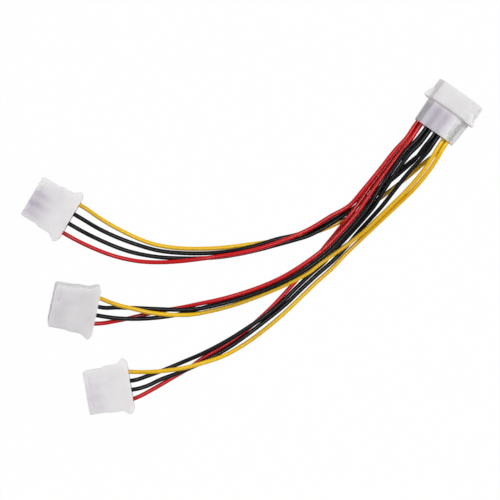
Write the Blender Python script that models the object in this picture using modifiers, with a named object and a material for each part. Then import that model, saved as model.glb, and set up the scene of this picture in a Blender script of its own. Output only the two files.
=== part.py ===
"""Splitter cable for 4-way peripheral power: one shrouded pin housing feeds three socket housings.

Metres, +Z up. The cable lies on a table at z = 0, laid out as it is seen from above, and the origin is
under the middle of the four housings. Each housing has a frame of its own: its origin is the middle of
its wire face, +Y runs to its mating face, +X to its yellow way, and +Z is up when it lies flat.
"""
import math

import bmesh
import bpy
import numpy as np
from mathutils import Euler, Vector

# Contact family: four ways in a row
PITCH = 0.00508
PIN_RADIUS = 0.001065
CLEARANCE = 0.0003
MATE_CLEARANCE = 0.0002

# Wire: 18 AWG with PVC insulation
WIRE_RADIUS = 0.001
WIRE_STEP = 0.0055

# Output housing, lying with its keyed (chamfered) side down
PLUG_LENGTH = 0.0212
PLUG_HEIGHT = 0.0088
PLUG_NOSE_HALF = 0.0104
PLUG_CORNER = 0.001
PLUG_BODY_HALF = 0.011
PLUG_TAPER_START = 0.013
PLUG_TAPER_END = 0.011
PLUG_KEY_LEG = 0.003
PLUG_BORE_FRONT = 0.00185
PLUG_BORE_REAR = 0.0022
PLUG_BORE_STEP = 0.012
EAR_HALF = 0.0133
EAR_START = 0.0065
EAR_ROOT = 0.0026
EAR_TIP = 0.0019
EAR_TIP_RADIUS = 0.0007
EAR_BACK_DROP = 0.0006
EAR_BACK_INSET = 0.0009

# Input housing: a block around the wire ways, and in front of it a shroud around the pins.
# They are one moulding, kept as two solids so that the shroud stays open to what slides in.
BLOCK_LENGTH = 0.012
BLOCK_HEIGHT = 0.0096
BLOCK_REAR_HALF = 0.0105
BLOCK_FRONT_HALF = 0.0112
BLOCK_KEY_LEG = 0.0046
BLOCK_BORE = 0.00235
WEB_START = 0.01
SHROUD_LENGTH = 0.0103
SHROUD_FLOOR = 0.0009
SHROUD_INNER_HALF = PLUG_NOSE_HALF + MATE_CLEARANCE
SHROUD_INNER_HEIGHT = PLUG_HEIGHT + 2 * CLEARANCE
SHROUD_WALL = 0.0012
SHROUD_KEY_LEG = PLUG_KEY_LEG
FLARE_HALF = 0.0135
FLARE_LENGTH = 0.0041
FLARE_HEIGHT = 0.0072
FLARE_BACK = 0.0001
FLARE_TIP = 0.0009
FLARE_DRAFT = 0.0002

# Terminals
SLEEVE_OUTER = 0.00155
SLEEVE_GRIP = 0.00006
SLEEVE_INNER = PIN_RADIUS + SLEEVE_GRIP
SLEEVE_START = 0.01
SLEEVE_INSET = 0.001
SLEEVE_END = PLUG_LENGTH - SLEEVE_INSET
SLEEVE_FLOOR = 0.0006
NECK_RADIUS = 0.0009
NECK_CHAMFER = 0.0008
CRIMP_OUTER = 0.0017
CRIMP_INNER = WIRE_RADIUS + CLEARANCE
CRIMP_START = 0.0052
CRIMP_SHOULDER = 0.0005
PLUG_WIRE_END = 0.0065
PIN_EXPOSED = 0.0091
PIN_TIP = BLOCK_LENGTH + PIN_EXPOSED
PIN_CRIMP_RADIUS = 0.0018
PIN_SHOULDER = 0.0004
INPUT_WIRE_END = 0.005

# Housing name: wire-face centre x and y, nose direction, pitch (nose up) and roll (yellow side up)
PLACES = {
    "input_housing": (0.085, 0.054, 54.0, 0.0, 15.0),
    "output_housing_a": (-0.0853, 0.0132, 149.3, 0.0, 0.0),
    "output_housing_b": (-0.0735, -0.0302, 169.5, 10.0, 15.0),
    "output_housing_c": (-0.0571, -0.0654, 189.8, 0.0, 0.0),
}

# Way of each wire, counted in pitches from the middle: the outputs mirror the input
INPUT_WAYS = {"red": -1.5, "black_1": -0.5, "black_2": 0.5, "yellow": 1.5}
OUTPUT_WAYS = {"red": -1.5, "black_2": -0.5, "black_1": 0.5, "yellow": 1.5}

# Three wires share one input way: two side by side over one
SLOTS = {
    "left": (-0.00108, 0.00062),
    "right": (0.00108, 0.00062),
    "low": (0.0, -0.00125),
}
WIRE_SLOTS = {
    "a_red": "left", "a_black_1": "low", "a_black_2": "low", "a_yellow": "low",
    "b_red": "right", "b_black_1": "left", "b_black_2": "left", "b_yellow": "left",
    "c_red": "low", "c_black_1": "right", "c_black_2": "right", "c_yellow": "right",
}

# Where each wire passes on its way from the input housing to its output housing
ROUTES = {
    "a_red": [
        (0.0729, 0.0515, 0.0070), (0.0675, 0.0456, 0.0065), (0.0601, 0.0362, 0.0057),
        (0.0523, 0.0267, 0.0050), (0.0461, 0.0196, 0.0042), (0.0368, 0.0142, 0.0041),
        (0.0276, 0.0086, 0.0049), (0.0204, 0.0052, 0.0052), (0.0132, 0.0024, 0.0051),
        (0.0038, -0.0007, 0.0047), (-0.0057, -0.0030, 0.0041), (-0.0151, -0.0045, 0.0033),
        (-0.0245, -0.0058, 0.0032), (-0.0340, -0.0069, 0.0026), (-0.0434, -0.0074, 0.0018),
        (-0.0527, -0.0070, 0.0012), (-0.0653, -0.0044, 0.0014), (-0.0764, -0.0001, 0.0030)],
    "a_black_1": [
        (0.0781, 0.0489, 0.0061), (0.0712, 0.0425, 0.0040), (0.0632, 0.0357, 0.0019),
        (0.0557, 0.0288, 0.0011), (0.0483, 0.0212, 0.0011), (0.0415, 0.0156, 0.0011),
        (0.0344, 0.0112, 0.0016), (0.0264, 0.0074, 0.0027), (0.0189, 0.0051, 0.0030),
        (0.0123, 0.0037, 0.0032), (0.0038, 0.0011, 0.0030), (-0.0057, -0.0014, 0.0026),
        (-0.0151, -0.0027, 0.0015), (-0.0245, -0.0032, 0.0011), (-0.0340, -0.0030, 0.0011),
        (-0.0434, -0.0020, 0.0011), (-0.0569, 0.0018, 0.0012), (-0.0717, 0.0081, 0.0026)],
    "a_black_2": [
        (0.0819, 0.0458, 0.0067), (0.0750, 0.0402, 0.0046), (0.0670, 0.0333, 0.0023),
        (0.0585, 0.0264, 0.0011), (0.0498, 0.0195, 0.0011), (0.0417, 0.0137, 0.0026),
        (0.0344, 0.0091, 0.0032), (0.0264, 0.0051, 0.0032), (0.0189, 0.0028, 0.0030),
        (0.0123, 0.0010, 0.0027), (0.0038, -0.0013, 0.0015), (-0.0057, -0.0034, 0.0011),
        (-0.0151, -0.0049, 0.0011), (-0.0245, -0.0055, 0.0011), (-0.0340, -0.0055, 0.0011),
        (-0.0434, -0.0050, 0.0011), (-0.0576, -0.0024, 0.0012), (-0.0731, 0.0037, 0.0026)],
    "a_yellow": [
        (0.0859, 0.0433, 0.0085), (0.0811, 0.0395, 0.0065), (0.0748, 0.0340, 0.0040),
        (0.0674, 0.0281, 0.0020), (0.0594, 0.0221, 0.0011), (0.0519, 0.0172, 0.0011),
        (0.0439, 0.0128, 0.0011), (0.0344, 0.0084, 0.0011), (0.0264, 0.0057, 0.0011),
        (0.0179, 0.0038, 0.0011), (0.0085, 0.0024, 0.0011), (-0.0010, 0.0011, 0.0011),
        (-0.0151, -0.0006, 0.0011), (-0.0245, -0.0010, 0.0011), (-0.0340, -0.0008, 0.0011),
        (-0.0462, 0.0011, 0.0011), (-0.0611, 0.0072, 0.0014), (-0.0717, 0.0133, 0.0028)],
    "b_red": [
        (0.0749, 0.0506, 0.0076), (0.0707, 0.0453, 0.0070), (0.0637, 0.0360, 0.0062),
        (0.0571, 0.0267, 0.0056), (0.0523, 0.0196, 0.0053), (0.0469, 0.0126, 0.0051),
        (0.0404, 0.0054, 0.0051), (0.0334, -0.0015, 0.0051), (0.0264, -0.0068, 0.0051),
        (0.0206, -0.0107, 0.0049), (0.0150, -0.0140, 0.0044), (0.0059, -0.0182, 0.0034),
        (-0.0061, -0.0224, 0.0029), (-0.0151, -0.0249, 0.0029), (-0.0245, -0.0269, 0.0023),
        (-0.0330, -0.0287, 0.0012), (-0.0434, -0.0305, 0.0011), (-0.0541, -0.0329, 0.0011),
        (-0.0631, -0.0349, 0.0019)],
    "b_black_1": [
        (0.0771, 0.0499, 0.0085), (0.0726, 0.0453, 0.0085), (0.0664, 0.0365, 0.0076),
        (0.0598, 0.0269, 0.0069), (0.0554, 0.0195, 0.0066), (0.0498, 0.0121, 0.0061),
        (0.0434, 0.0049, 0.0055), (0.0371, -0.0018, 0.0052), (0.0301, -0.0074, 0.0051),
        (0.0245, -0.0113, 0.0050), (0.0160, -0.0162, 0.0045), (0.0059, -0.0206, 0.0035),
        (-0.0061, -0.0247, 0.0030), (-0.0151, -0.0272, 0.0031), (-0.0245, -0.0292, 0.0031),
        (-0.0321, -0.0298, 0.0032), (-0.0434, -0.0295, 0.0034), (-0.0541, -0.0290, 0.0039),
        (-0.0632, -0.0287, 0.0048)],
    "b_black_2": [
        (0.0812, 0.0471, 0.0089), (0.0776, 0.0421, 0.0075), (0.0698, 0.0349, 0.0053),
        (0.0606, 0.0269, 0.0045), (0.0547, 0.0199, 0.0038), (0.0488, 0.0128, 0.0033),
        (0.0424, 0.0057, 0.0032), (0.0356, -0.0015, 0.0032), (0.0283, -0.0072, 0.0032),
        (0.0225, -0.0112, 0.0031), (0.0156, -0.0152, 0.0025), (0.0059, -0.0196, 0.0015),
        (-0.0061, -0.0238, 0.0011), (-0.0151, -0.0265, 0.0011), (-0.0245, -0.0293, 0.0011),
        (-0.0340, -0.0319, 0.0011), (-0.0434, -0.0334, 0.0019), (-0.0541, -0.0341, 0.0033),
        (-0.0631, -0.0338, 0.0043)],
    "b_yellow": [
        (0.0860, 0.0443, 0.0107), (0.0807, 0.0360, 0.0092), (0.0729, 0.0267, 0.0077),
        (0.0658, 0.0196, 0.0064), (0.0597, 0.0137, 0.0053), (0.0535, 0.0078, 0.0044),
        (0.0467, 0.0023, 0.0036), (0.0396, -0.0028, 0.0033), (0.0324, -0.0078, 0.0033),
        (0.0270, -0.0120, 0.0033), (0.0179, -0.0170, 0.0029), (0.0059, -0.0223, 0.0016),
        (-0.0061, -0.0268, 0.0011), (-0.0197, -0.0305, 0.0011), (-0.0288, -0.0321, 0.0026),
        (-0.0377, -0.0322, 0.0040), (-0.0480, -0.0311, 0.0054), (-0.0571, -0.0290, 0.0062),
        (-0.0637, -0.0273, 0.0071)],
    "c_red": [
        (0.0742, 0.0512, 0.0050), (0.0691, 0.0457, 0.0046), (0.0620, 0.0364, 0.0039),
        (0.0547, 0.0267, 0.0035), (0.0499, 0.0198, 0.0035), (0.0448, 0.0130, 0.0034),
        (0.0391, 0.0057, 0.0020), (0.0328, -0.0020, 0.0011), (0.0264, -0.0095, 0.0011),
        (0.0210, -0.0159, 0.0011), (0.0150, -0.0226, 0.0011), (0.0085, -0.0294, 0.0011),
        (0.0009, -0.0364, 0.0011), (-0.0057, -0.0419, 0.0011), (-0.0137, -0.0472, 0.0011),
        (-0.0227, -0.0524, 0.0011), (-0.0307, -0.0580, 0.0011), (-0.0361, -0.0611, 0.0011),
        (-0.0415, -0.0643, 0.0019), (-0.0486, -0.0683, 0.0035)],
    "c_black_1": [
        (0.0792, 0.0488, 0.0089), (0.0737, 0.0432, 0.0089), (0.0682, 0.0355, 0.0080),
        (0.0623, 0.0269, 0.0068), (0.0578, 0.0195, 0.0056), (0.0523, 0.0128, 0.0043),
        (0.0464, 0.0062, 0.0026), (0.0398, -0.0009, 0.0011), (0.0340, -0.0075, 0.0011),
        (0.0283, -0.0125, 0.0011), (0.0207, -0.0197, 0.0011), (0.0132, -0.0271, 0.0022),
        (0.0059, -0.0330, 0.0032), (-0.0010, -0.0376, 0.0032), (-0.0107, -0.0438, 0.0029),
        (-0.0227, -0.0502, 0.0023), (-0.0330, -0.0547, 0.0013), (-0.0420, -0.0584, 0.0020),
        (-0.0495, -0.0611, 0.0035)],
    "c_black_2": [
        (0.0834, 0.0458, 0.0099), (0.0795, 0.0412, 0.0090), (0.0742, 0.0354, 0.0078),
        (0.0673, 0.0269, 0.0064), (0.0617, 0.0196, 0.0052), (0.0561, 0.0133, 0.0038),
        (0.0509, 0.0076, 0.0024), (0.0439, -0.0008, 0.0011), (0.0382, -0.0068, 0.0011),
        (0.0316, -0.0125, 0.0011), (0.0236, -0.0199, 0.0011), (0.0160, -0.0272, 0.0011),
        (0.0059, -0.0354, 0.0013), (-0.0028, -0.0420, 0.0022), (-0.0107, -0.0475, 0.0023),
        (-0.0198, -0.0527, 0.0028), (-0.0283, -0.0569, 0.0032), (-0.0363, -0.0602, 0.0033),
        (-0.0429, -0.0626, 0.0035), (-0.0493, -0.0656, 0.0040)],
    "c_yellow": [
        (0.0880, 0.0433, 0.0113), (0.0834, 0.0360, 0.0095), (0.0758, 0.0267, 0.0073),
        (0.0685, 0.0196, 0.0050), (0.0623, 0.0137, 0.0033), (0.0568, 0.0085, 0.0020),
        (0.0507, 0.0027, 0.0011), (0.0447, -0.0031, 0.0011), (0.0373, -0.0108, 0.0011),
        (0.0300, -0.0173, 0.0011), (0.0240, -0.0231, 0.0011), (0.0137, -0.0328, 0.0011),
        (0.0059, -0.0393, 0.0011), (-0.0033, -0.0460, 0.0013), (-0.0137, -0.0517, 0.0033),
        (-0.0227, -0.0547, 0.0051), (-0.0321, -0.0572, 0.0053), (-0.0410, -0.0585, 0.0052),
        (-0.0495, -0.0591, 0.0049)],
}

# How far a wire leans towards the middle of its output housing as it leaves the wire face
WIRE_LEAN = {"red": 0.0011, "black_2": 0.0004, "black_1": -0.0004, "yellow": -0.0011}
LEAN_OUTSIDE = {"red": 1.6, "black_2": 1.0, "black_1": 1.0, "yellow": 1.6}
BRANCH_LEAN = {"a": 0.0, "b": 1.0, "c": 1.0}
WIRE_LEAD = 0.003

# Cutters run past the faces that they open
CUT_THROUGH = 0.001
KEY_OVERRUN = 0.002
KEY_CUTTER_SIZE = 0.02

FINISHES = {
    "nylon": ((0.86, 0.85, 0.84), 0.4, 0.0),
    "tin": ((0.72, 0.72, 0.7), 0.3, 1.0),
    "red_pvc": ((0.62, 0.01, 0.015), 0.35, 0.0),
    "black_pvc": ((0.012, 0.012, 0.018), 0.35, 0.0),
    "yellow_pvc": ((0.83, 0.53, 0.02), 0.35, 0.0),
}


def clear_scene():
    for obj in list(bpy.data.objects):
        bpy.data.objects.remove(obj, do_unlink=True)


def new_collection(name):
    group = bpy.data.collections.new(name)
    bpy.context.scene.collection.children.link(group)
    return group


def make_materials():
    made = {}
    for name, (colour, roughness, metallic) in FINISHES.items():
        finish = bpy.data.materials.new(name)
        finish.use_nodes = True
        shader = finish.node_tree.nodes["Principled BSDF"]
        shader.inputs["Base Color"].default_value = (*colour, 1.0)
        shader.inputs["Roughness"].default_value = roughness
        shader.inputs["Metallic"].default_value = metallic
        made[name] = finish
    return made


def mesh_object(name, mesh, group, finish=None):
    obj = bpy.data.objects.new(name, mesh)
    group.objects.link(obj)
    if finish is not None:
        mesh.materials.append(finish)
    return obj


def extruded(name, outline, thickness, group, finish=None):
    """A flat closed outline in XY, thickened evenly about z = 0, as a welded mesh."""
    curve = bpy.data.curves.new(name, "CURVE")
    curve.dimensions = "2D"
    curve.fill_mode = "BOTH"
    curve.extrude = thickness / 2
    spline = curve.splines.new("POLY")
    spline.points.add(len(outline) - 1)
    for point, (x, y) in zip(spline.points, outline):
        point.co = (x, y, 0.0, 1.0)
    spline.use_cyclic_u = True
    guide = bpy.data.objects.new(name + "_outline", curve)
    group.objects.link(guide)
    bpy.context.view_layer.update()
    evaluated = guide.evaluated_get(bpy.context.evaluated_depsgraph_get())
    mesh = bpy.data.meshes.new_from_object(evaluated)
    bpy.data.objects.remove(guide, do_unlink=True)
    mesh.materials.clear()
    weld(mesh)
    return mesh_object(name, mesh, group, finish)


def weld(mesh):
    shape = bmesh.new()
    shape.from_mesh(mesh)
    bmesh.ops.remove_doubles(shape, verts=shape.verts, dist=0.000001)
    bmesh.ops.recalc_face_normals(shape, faces=shape.faces)
    shape.to_mesh(mesh)
    shape.free()


def along_y(obj, start):
    """Turn a shape made along Z to run along +Y from the given distance."""
    obj.rotation_euler = (-math.pi / 2, 0.0, 0.0)
    obj.location.y = start


def bore(name, x, radius, start, end, group, sides=16):
    mesh = bpy.data.meshes.new(name)
    shape = bmesh.new()
    bmesh.ops.create_cone(shape, cap_ends=True, segments=sides, radius1=radius, radius2=radius,
                          depth=end - start)
    shape.to_mesh(mesh)
    shape.free()
    cutter = mesh_object(name, mesh, group)
    cutter.location.x = x
    along_y(cutter, (start + end) / 2)
    return as_cutter(cutter)


def as_cutter(obj):
    obj.hide_render = True
    obj.display_type = "WIRE"
    return obj


def add_boolean(obj, other, operation):
    step = obj.modifiers.new(operation.lower() + "_" + other.name, "BOOLEAN")
    step.operation = operation
    step.solver = "EXACT"
    step.object = other


def keyed_section(half, height, leg):
    """A rectangle with its two upper corners cut at 45 degrees."""
    z = height / 2
    return [(-half, -z), (half, -z), (half, z - leg), (half - leg, z), (leg - half, z), (-half, z - leg)]


def arc(centre, radius, start, end, count):
    angles = np.radians(np.linspace(start, end, count))
    return [(centre[0] + radius * math.cos(a), centre[1] + radius * math.sin(a)) for a in angles]


def both_sides(half_outline):
    """Close a right-hand outline with its mirror image."""
    return half_outline + [(-x, y) for x, y in reversed(half_outline)]


def plug_outline():
    """Plan of an output housing: a tapered nose, a straight body and a pair of finger ears."""
    flare_radius = EAR_START - EAR_ROOT
    flare_centre = (PLUG_BODY_HALF + flare_radius, EAR_START)
    flare = arc(flare_centre, flare_radius, 180.0, 232.0, 6)
    tip = arc((EAR_HALF - EAR_TIP_RADIUS, EAR_TIP), EAR_TIP_RADIUS, 60.0, -50.0, 5)
    right = [(PLUG_BODY_HALF, 0.0), (EAR_HALF - EAR_BACK_INSET, EAR_BACK_DROP)]
    right += list(reversed(tip))
    right += list(reversed(flare))
    right += [(PLUG_BODY_HALF, PLUG_TAPER_END), (PLUG_NOSE_HALF, PLUG_TAPER_START)]
    corner = (PLUG_NOSE_HALF - PLUG_CORNER, PLUG_LENGTH - PLUG_CORNER)
    right += arc(corner, PLUG_CORNER, 0.0, 90.0, 4)
    return both_sides(right)


def key_cutter(name, half, height, leg, side, length, group):
    """A block whose 45 degree face is the key plane through a long edge of a housing."""
    size = KEY_CUTTER_SIZE
    mesh = bpy.data.meshes.new(name)
    shape = bmesh.new()
    bmesh.ops.create_cube(shape, size=1.0)
    bmesh.ops.scale(shape, vec=(size, length, size), verts=shape.verts)
    shape.to_mesh(mesh)
    shape.free()
    cutter = mesh_object(name, mesh, group)
    cutter.rotation_euler = (0.0, math.radians(45.0), 0.0)
    reach = (half + height / 2 - leg) / math.sqrt(2.0) + size / 2
    away = reach / math.sqrt(2.0)
    cutter.location = (side[0] * away, length / 2 - KEY_OVERRUN, side[1] * away)
    return as_cutter(cutter)


def output_housing(name, parts, cutters, finish):
    body = extruded(name, plug_outline(), PLUG_HEIGHT, parts, finish)
    for side in (-1, 1):
        cutter = key_cutter(f"{name}_key_{side}", PLUG_BODY_HALF, PLUG_HEIGHT, PLUG_KEY_LEG, (side, -1),
                            PLUG_LENGTH + 2 * KEY_OVERRUN, cutters)
        cutter.parent = body
        add_boolean(body, cutter, "DIFFERENCE")
    for colour, way in OUTPUT_WAYS.items():
        rear = bore(f"{name}_rear_{colour}", way * PITCH, PLUG_BORE_REAR, -CUT_THROUGH, PLUG_BORE_STEP,
                    cutters)
        front = bore(f"{name}_front_{colour}", way * PITCH, PLUG_BORE_FRONT, PLUG_BORE_STEP - CUT_THROUGH,
                     PLUG_LENGTH + CUT_THROUGH, cutters)
        for cutter in (rear, front):
            cutter.parent = body
            add_boolean(body, cutter, "DIFFERENCE")
    return body


def flare_outline():
    """Plan of the shroud's two side flares, from the shroud's middle to their tips."""
    outer = SHROUD_INNER_HALF + SHROUD_WALL
    back = BLOCK_LENGTH + FLARE_BACK
    tip = BLOCK_LENGTH + FLARE_TIP
    front = tip + FLARE_LENGTH
    right = [(FLARE_HALF - FLARE_DRAFT, back), (FLARE_HALF, tip), (outer, front), (SHROUD_INNER_HALF, front)]
    return both_sides(right)


def input_shroud(name, parts, cutters, finish):
    """The cup around the pins, with its side flares and a floor that the pins come through."""
    outer_half = SHROUD_INNER_HALF + SHROUD_WALL
    outer_height = SHROUD_INNER_HEIGHT + 2 * SHROUD_WALL
    outer_leg = SHROUD_KEY_LEG + SHROUD_WALL * (2.0 - math.sqrt(2.0))
    body = extruded(name, keyed_section(outer_half, outer_height, outer_leg), SHROUD_LENGTH, parts, finish)
    turn_section(body.data, BLOCK_LENGTH + SHROUD_LENGTH / 2)
    flares = as_cutter(extruded(name + "_flares", flare_outline(), FLARE_HEIGHT, cutters))
    inside = keyed_section(SHROUD_INNER_HALF, SHROUD_INNER_HEIGHT, SHROUD_KEY_LEG)
    cavity = extruded(name + "_cavity", inside, SHROUD_LENGTH, cutters)
    turn_section(cavity.data, BLOCK_LENGTH + SHROUD_FLOOR + SHROUD_LENGTH / 2)
    as_cutter(cavity)
    for tool, operation in ((flares, "UNION"), (cavity, "DIFFERENCE")):
        tool.parent = body
        add_boolean(body, tool, operation)
    for colour, way in INPUT_WAYS.items():
        cutter = bore(f"{name}_floor_{colour}", way * PITCH, PIN_RADIUS + CLEARANCE,
                      BLOCK_LENGTH - CUT_THROUGH, BLOCK_LENGTH + SHROUD_FLOOR + CUT_THROUGH, cutters)
        cutter.parent = body
        add_boolean(body, cutter, "DIFFERENCE")
    return body


def input_housing(name, parts, cutters, finish):
    """The block around the wire ways, with a web behind the shroud's floor."""
    front = BLOCK_LENGTH - CLEARANCE
    plan = both_sides([(BLOCK_REAR_HALF, 0.0), (BLOCK_FRONT_HALF, front)])
    body = extruded(name, plan, BLOCK_HEIGHT, parts, finish)
    for side in (-1, 1):
        cutter = key_cutter(f"{name}_key_{side}", BLOCK_FRONT_HALF, BLOCK_HEIGHT, BLOCK_KEY_LEG, (side, 1),
                            BLOCK_LENGTH + 2 * KEY_OVERRUN, cutters)
        cutter.parent = body
        add_boolean(body, cutter, "DIFFERENCE")
    for colour, way in INPUT_WAYS.items():
        rear = bore(f"{name}_rear_{colour}", way * PITCH, BLOCK_BORE, -CUT_THROUGH, WEB_START, cutters)
        web = bore(f"{name}_web_{colour}", way * PITCH, PIN_RADIUS + CLEARANCE, WEB_START - CUT_THROUGH,
                   front + CUT_THROUGH, cutters)
        for cutter in (rear, web):
            cutter.parent = body
            add_boolean(body, cutter, "DIFFERENCE")
    return body


def turn_section(mesh, middle):
    """Stand a section drawn in XY up in XZ, so that its thickness runs along Y about the given place."""
    for vertex in mesh.vertices:
        x, y, z = vertex.co
        vertex.co = (x, middle - z, y)
    weld(mesh)


def turned(name, profile, sides, group, finish):
    """A profile of (radius, distance) points, from the front end down its outer side, about +Y."""
    mesh = bpy.data.meshes.new(name)
    points = [(radius, 0.0, distance) for radius, distance in profile]
    edges = [(i, i + 1) for i in range(len(points) - 1)]
    mesh.from_pydata(points, edges, [])
    obj = mesh_object(name, mesh, group, finish)
    screw = obj.modifiers.new("turn", "SCREW")
    screw.axis = "Z"
    screw.steps = sides
    screw.render_steps = sides
    screw.use_merge_vertices = True
    screw.merge_threshold = 0.00001
    screw.use_smooth_shade = True
    obj.rotation_euler = (-math.pi / 2, 0.0, 0.0)
    return obj


def socket_profile():
    floor = SLEEVE_START + SLEEVE_FLOOR
    wall = PLUG_WIRE_END + CLEARANCE
    shoulder = wall + CRIMP_SHOULDER
    return [(0.0, floor), (SLEEVE_INNER, floor), (SLEEVE_INNER, SLEEVE_END), (SLEEVE_OUTER, SLEEVE_END),
            (SLEEVE_OUTER, SLEEVE_START), (NECK_RADIUS, SLEEVE_START - NECK_CHAMFER),
            (NECK_RADIUS, shoulder + NECK_CHAMFER), (CRIMP_OUTER, shoulder), (CRIMP_OUTER, CRIMP_START),
            (CRIMP_INNER, CRIMP_START), (CRIMP_INNER, wall), (0.0, wall)]


def pin_profile():
    round_tip = [(PIN_RADIUS * math.sin(a), PIN_TIP - PIN_RADIUS * (1.0 - math.cos(a)))
                 for a in np.radians((0.0, 30.0, 60.0, 90.0))]
    shoulder = WEB_START - CLEARANCE
    rear = INPUT_WIRE_END + CLEARANCE
    return round_tip + [(PIN_RADIUS, shoulder), (PIN_CRIMP_RADIUS, shoulder - PIN_SHOULDER),
                        (PIN_CRIMP_RADIUS, rear), (0.0, rear)]


def smooth_points(points, step):
    """Even points on the smooth curve through the given ones, with tangents weighted by distance."""
    points = np.asarray(points, float)
    knots = np.concatenate([[0.0], np.cumsum(np.linalg.norm(np.diff(points, axis=0), axis=1))])
    gaps = np.diff(knots)[:, None]
    slopes = np.diff(points, axis=0) / gaps
    tangents = np.vstack([slopes[:1], slopes[:1].repeat(len(points) - 2, axis=0), slopes[-1:]])
    tangents[1:-1] = (slopes[:-1] * gaps[1:] + slopes[1:] * gaps[:-1]) / (gaps[:-1] + gaps[1:])
    where = np.linspace(0.0, knots[-1], int(round(knots[-1] / step)) + 1)
    index = np.clip(np.searchsorted(knots, where, side="right") - 1, 0, len(points) - 2)
    span = gaps[index]
    u = (where - knots[index])[:, None] / span
    start = (2 * u**3 - 3 * u**2 + 1) * points[index] + (u**3 - 2 * u**2 + u) * span * tangents[index]
    end = (3 * u**2 - 2 * u**3) * points[index + 1] + (u**3 - u**2) * span * tangents[index + 1]
    return start + end


def wire_route(name, frames):
    """The wire's points in the world: out of its input way, along its route, into its output way."""
    branch, colour = name.split("_", 1)
    lean = WIRE_LEAN[colour] * BRANCH_LEAN[branch]
    slot_x, slot_z = SLOTS[WIRE_SLOTS[name]]
    start_x = INPUT_WAYS[colour] * PITCH + slot_x
    start = [frames["input_housing"] @ Vector((start_x, y, slot_z))
             for y in (INPUT_WIRE_END, INPUT_WIRE_END / 2, 0.0, -WIRE_LEAD)]
    end_x = OUTPUT_WAYS[colour] * PITCH
    leans = ((-WIRE_LEAD, LEAN_OUTSIDE[colour]), (0.0, 1.0), (WIRE_LEAD, 0.4), (PLUG_WIRE_END, 0.0))
    end = [frames["output_housing_" + branch] @ Vector((end_x + lean * part, y, 0.0))
           for y, part in leans]
    return start + [Vector(point) for point in ROUTES[name]] + end


def wire(name, route, group, finish):
    curve = bpy.data.curves.new(name, "CURVE")
    curve.dimensions = "3D"
    curve.bevel_depth = WIRE_RADIUS
    curve.bevel_resolution = 2
    curve.use_fill_caps = True
    spline = curve.splines.new("POLY")
    points = smooth_points(route, WIRE_STEP)
    points[:, 2] = np.maximum(points[:, 2], WIRE_RADIUS)
    spline.points.add(len(points) - 1)
    for point, place in zip(spline.points, points):
        point.co = (*place, 1.0)
    curve.materials.append(finish)
    obj = bpy.data.objects.new(name, curve)
    group.objects.link(obj)
    return obj


def frame_empty(name, housing, group):
    """The housing's frame, let down until the lowest corner of its solid rests on the table."""
    x, y, nose, pitch, roll = PLACES[name]
    empty = bpy.data.objects.new(name + "_frame", None)
    group.objects.link(empty)
    turn = Euler((math.radians(pitch), math.radians(-roll), math.radians(nose - 90.0)), "YXZ")
    empty.rotation_mode = "YXZ"
    empty.rotation_euler = turn
    bpy.context.view_layer.update()
    solid = housing.evaluated_get(bpy.context.evaluated_depsgraph_get())
    matrix = turn.to_matrix()
    lowest = min((matrix @ vertex.co).z for vertex in solid.data.vertices)
    empty.location = (x, y, -lowest)
    housing.parent = empty
    bpy.context.view_layer.update()
    return empty


def build():
    clear_scene()
    parts = new_collection("splitter_cable")
    cutters = new_collection("cutters")
    finishes = make_materials()
    frames = {}
    for name in PLACES:
        if name == "input_housing":
            shroud = input_shroud("input_shroud", parts, cutters, finishes["nylon"])
            empty = frame_empty(name, shroud, parts)
            block = input_housing(name, parts, cutters, finishes["nylon"])
            block.parent = empty
        else:
            housing = output_housing(name, parts, cutters, finishes["nylon"])
            empty = frame_empty(name, housing, parts)
        frames[name] = empty.matrix_world.copy()
        ways = INPUT_WAYS if name == "input_housing" else OUTPUT_WAYS
        for colour, way in ways.items():
            if name == "input_housing":
                terminal = turned("input_pin_" + colour, pin_profile(), 12, parts, finishes["tin"])
            else:
                terminal = turned(f"socket_{name[-1]}_{colour}", socket_profile(), 12, parts, finishes["tin"])
            terminal.parent = empty
            terminal.location.x = way * PITCH
    for name in ROUTES:
        colour = name.split("_")[1]
        wire(name, wire_route(name, frames), parts, finishes[colour + "_pvc"])


build()
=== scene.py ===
# Splitter cable for 4-way peripheral power: one shrouded pin housing feeding three socket housings.
import math

import bmesh
import bpy
import numpy as np
from mathutils import Euler, Matrix, Vector


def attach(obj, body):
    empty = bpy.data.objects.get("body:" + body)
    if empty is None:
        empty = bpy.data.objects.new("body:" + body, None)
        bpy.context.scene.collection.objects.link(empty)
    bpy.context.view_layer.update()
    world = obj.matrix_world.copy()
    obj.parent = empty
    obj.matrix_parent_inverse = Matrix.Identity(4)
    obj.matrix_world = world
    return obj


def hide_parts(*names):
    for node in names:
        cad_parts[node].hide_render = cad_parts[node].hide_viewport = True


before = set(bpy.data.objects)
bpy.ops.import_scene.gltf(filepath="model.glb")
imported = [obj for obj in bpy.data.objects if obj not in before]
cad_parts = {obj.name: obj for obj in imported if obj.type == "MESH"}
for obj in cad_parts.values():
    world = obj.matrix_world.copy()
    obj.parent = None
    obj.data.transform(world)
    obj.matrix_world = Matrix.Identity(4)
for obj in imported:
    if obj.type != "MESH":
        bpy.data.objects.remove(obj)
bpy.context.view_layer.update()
print("frame loaded:", len(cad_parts), "solids")

# Sizes that all the connectors share, in metres
family = {
    "pitch": 0.00508,
    "pinRadius": 0.001065,
    "wireRadius": 0.001,
    "gap": 0.0003,
}

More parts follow.
